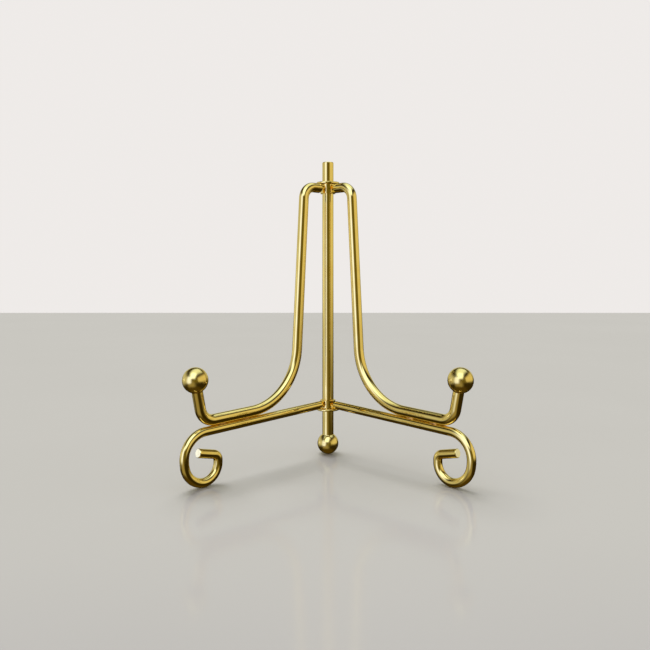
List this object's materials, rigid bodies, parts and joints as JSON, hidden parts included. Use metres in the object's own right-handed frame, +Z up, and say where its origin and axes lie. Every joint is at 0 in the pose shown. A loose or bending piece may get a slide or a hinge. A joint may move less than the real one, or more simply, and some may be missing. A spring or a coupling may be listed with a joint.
{
  "type": "display easel",
  "caption": "Folding gold wire plate easel: a centre post with a ball foot and two hinged wire wings with scroll feet, backrest uprights and ball-tipped hooks.",
  "frame": {"origin": "on the table plane, under the axis of the centre post", "axes": "+Z up along the centre post, -Y the front where the two wings stand, +X to the right seen from the front"},
  "size_m": [0.0854, 0.0467, 0.1016],
  "materials": {
    "gold_plate": "polished",
    "braze_metal": "satin"
  },
  "bodies": {
    "post": {"center_post": "gold_plate", "post_foot_ball": "gold_plate", "upper_retaining_washer": "gold_plate", "lower_retaining_washer": "gold_plate"},
    "left_wing": {"left_backrest_wire": "gold_plate", "left_foot_wire": "gold_plate", "left_tip_ball": "gold_plate", "left_wire_brazes": "braze_metal"},
    "right_wing": {"right_backrest_wire": "gold_plate", "right_foot_wire": "gold_plate", "right_tip_ball": "gold_plate", "right_wire_brazes": "braze_metal"}
  },
  "joints": [
    {"name": "left_wing_hinge", "type": "hinge", "parent": "post", "child": "left_wing", "pos_m": [0, 0, 0.05], "axis": [0, 0, 1], "range_deg": [-105, 15]},
    {"name": "right_wing_hinge", "type": "hinge", "parent": "post", "child": "right_wing", "pos_m": [0, 0, 0.05], "axis": [0, 0, 1], "range_deg": [-15, 105]}
  ]
}
